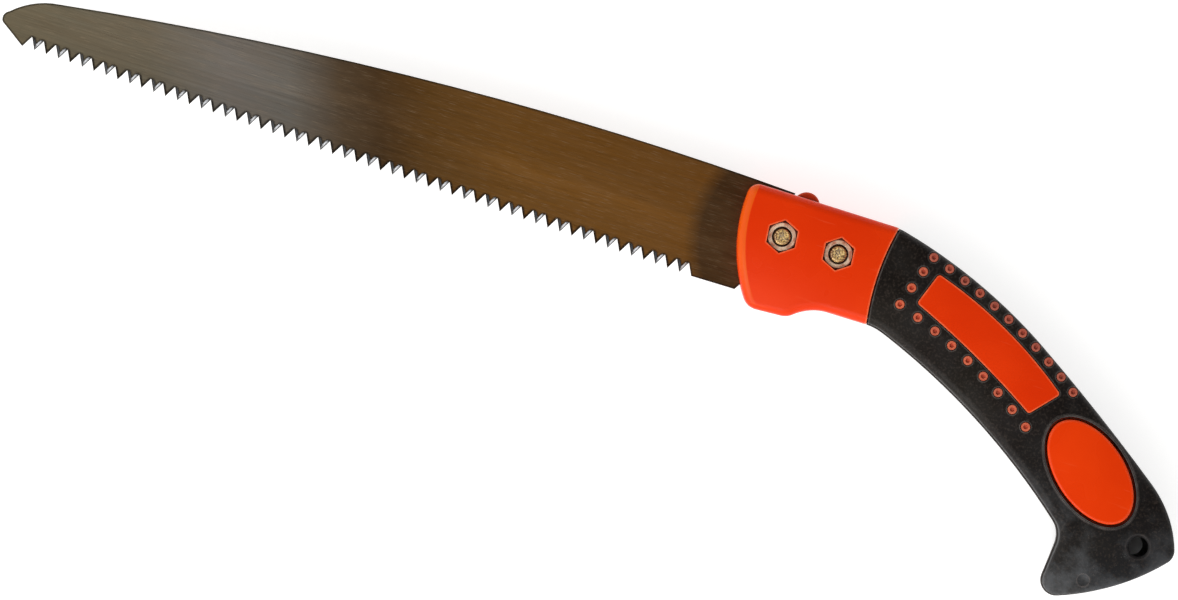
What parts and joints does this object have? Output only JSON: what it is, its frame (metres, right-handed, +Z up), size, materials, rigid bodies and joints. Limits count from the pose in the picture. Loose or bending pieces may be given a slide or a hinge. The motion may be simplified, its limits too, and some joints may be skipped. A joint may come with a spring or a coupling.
{
  "type": "curved pruning saw",
  "caption": "Curved pruning saw: bolted blade with bevelled teeth, two-shell pistol grip with soft skins, sprung scabbard catch and lanyard hole.",
  "frame": {"origin": "under the middle of the saw's box, on the surface that the saw lies on with its bolt-head side down", "axes": "+X from the blade's tip towards the butt, along the line of the two blade bolts; +Y from the teeth towards the spine; +Z up, out of the nut side"},
  "size_m": [0.4532, 0.1108, 0.0276],
  "materials": {
    "blade_steel": "ground lengthwise, satin",
    "orange_plastic": "moulded, satin gloss",
    "black_rubber": "moulded, soft sheen",
    "orange_gloss": "domed, glossy",
    "yellow_zinc": "yellow zinc plate",
    "bright_zinc": "zinc plate",
    "screw_steel": "black oxide",
    "catch_plastic": "moulded, satin",
    "spring_steel": "drawn wire"
  },
  "bodies": {
    "handle": {"blade": "blade_steel", "core_left": "orange_plastic", "core_right": "orange_plastic", "grip_left": "black_rubber", "grip_right": "black_rubber", "badge_left": "orange_gloss", "badge_right": "orange_gloss", "front_bolt": "yellow_zinc", "rear_bolt": "yellow_zinc", "front_nut": "bright_zinc", "rear_nut": "bright_zinc", "front_washer": "bright_zinc", "rear_washer": "bright_zinc", "grip_screws": "screw_steel", "catch_spring": "spring_steel"},
    "catch": {"scabbard_catch": "catch_plastic"}
  },
  "joints": [
    {"name": "catch_press", "type": "slide", "parent": "handle", "child": "catch", "axis": [0, -1, 0], "range_m": [0, 0.0025], "stiffness_N_per_m": 800, "springref_m": -0.002, "deforming": ["catch_spring"]}
  ]
}
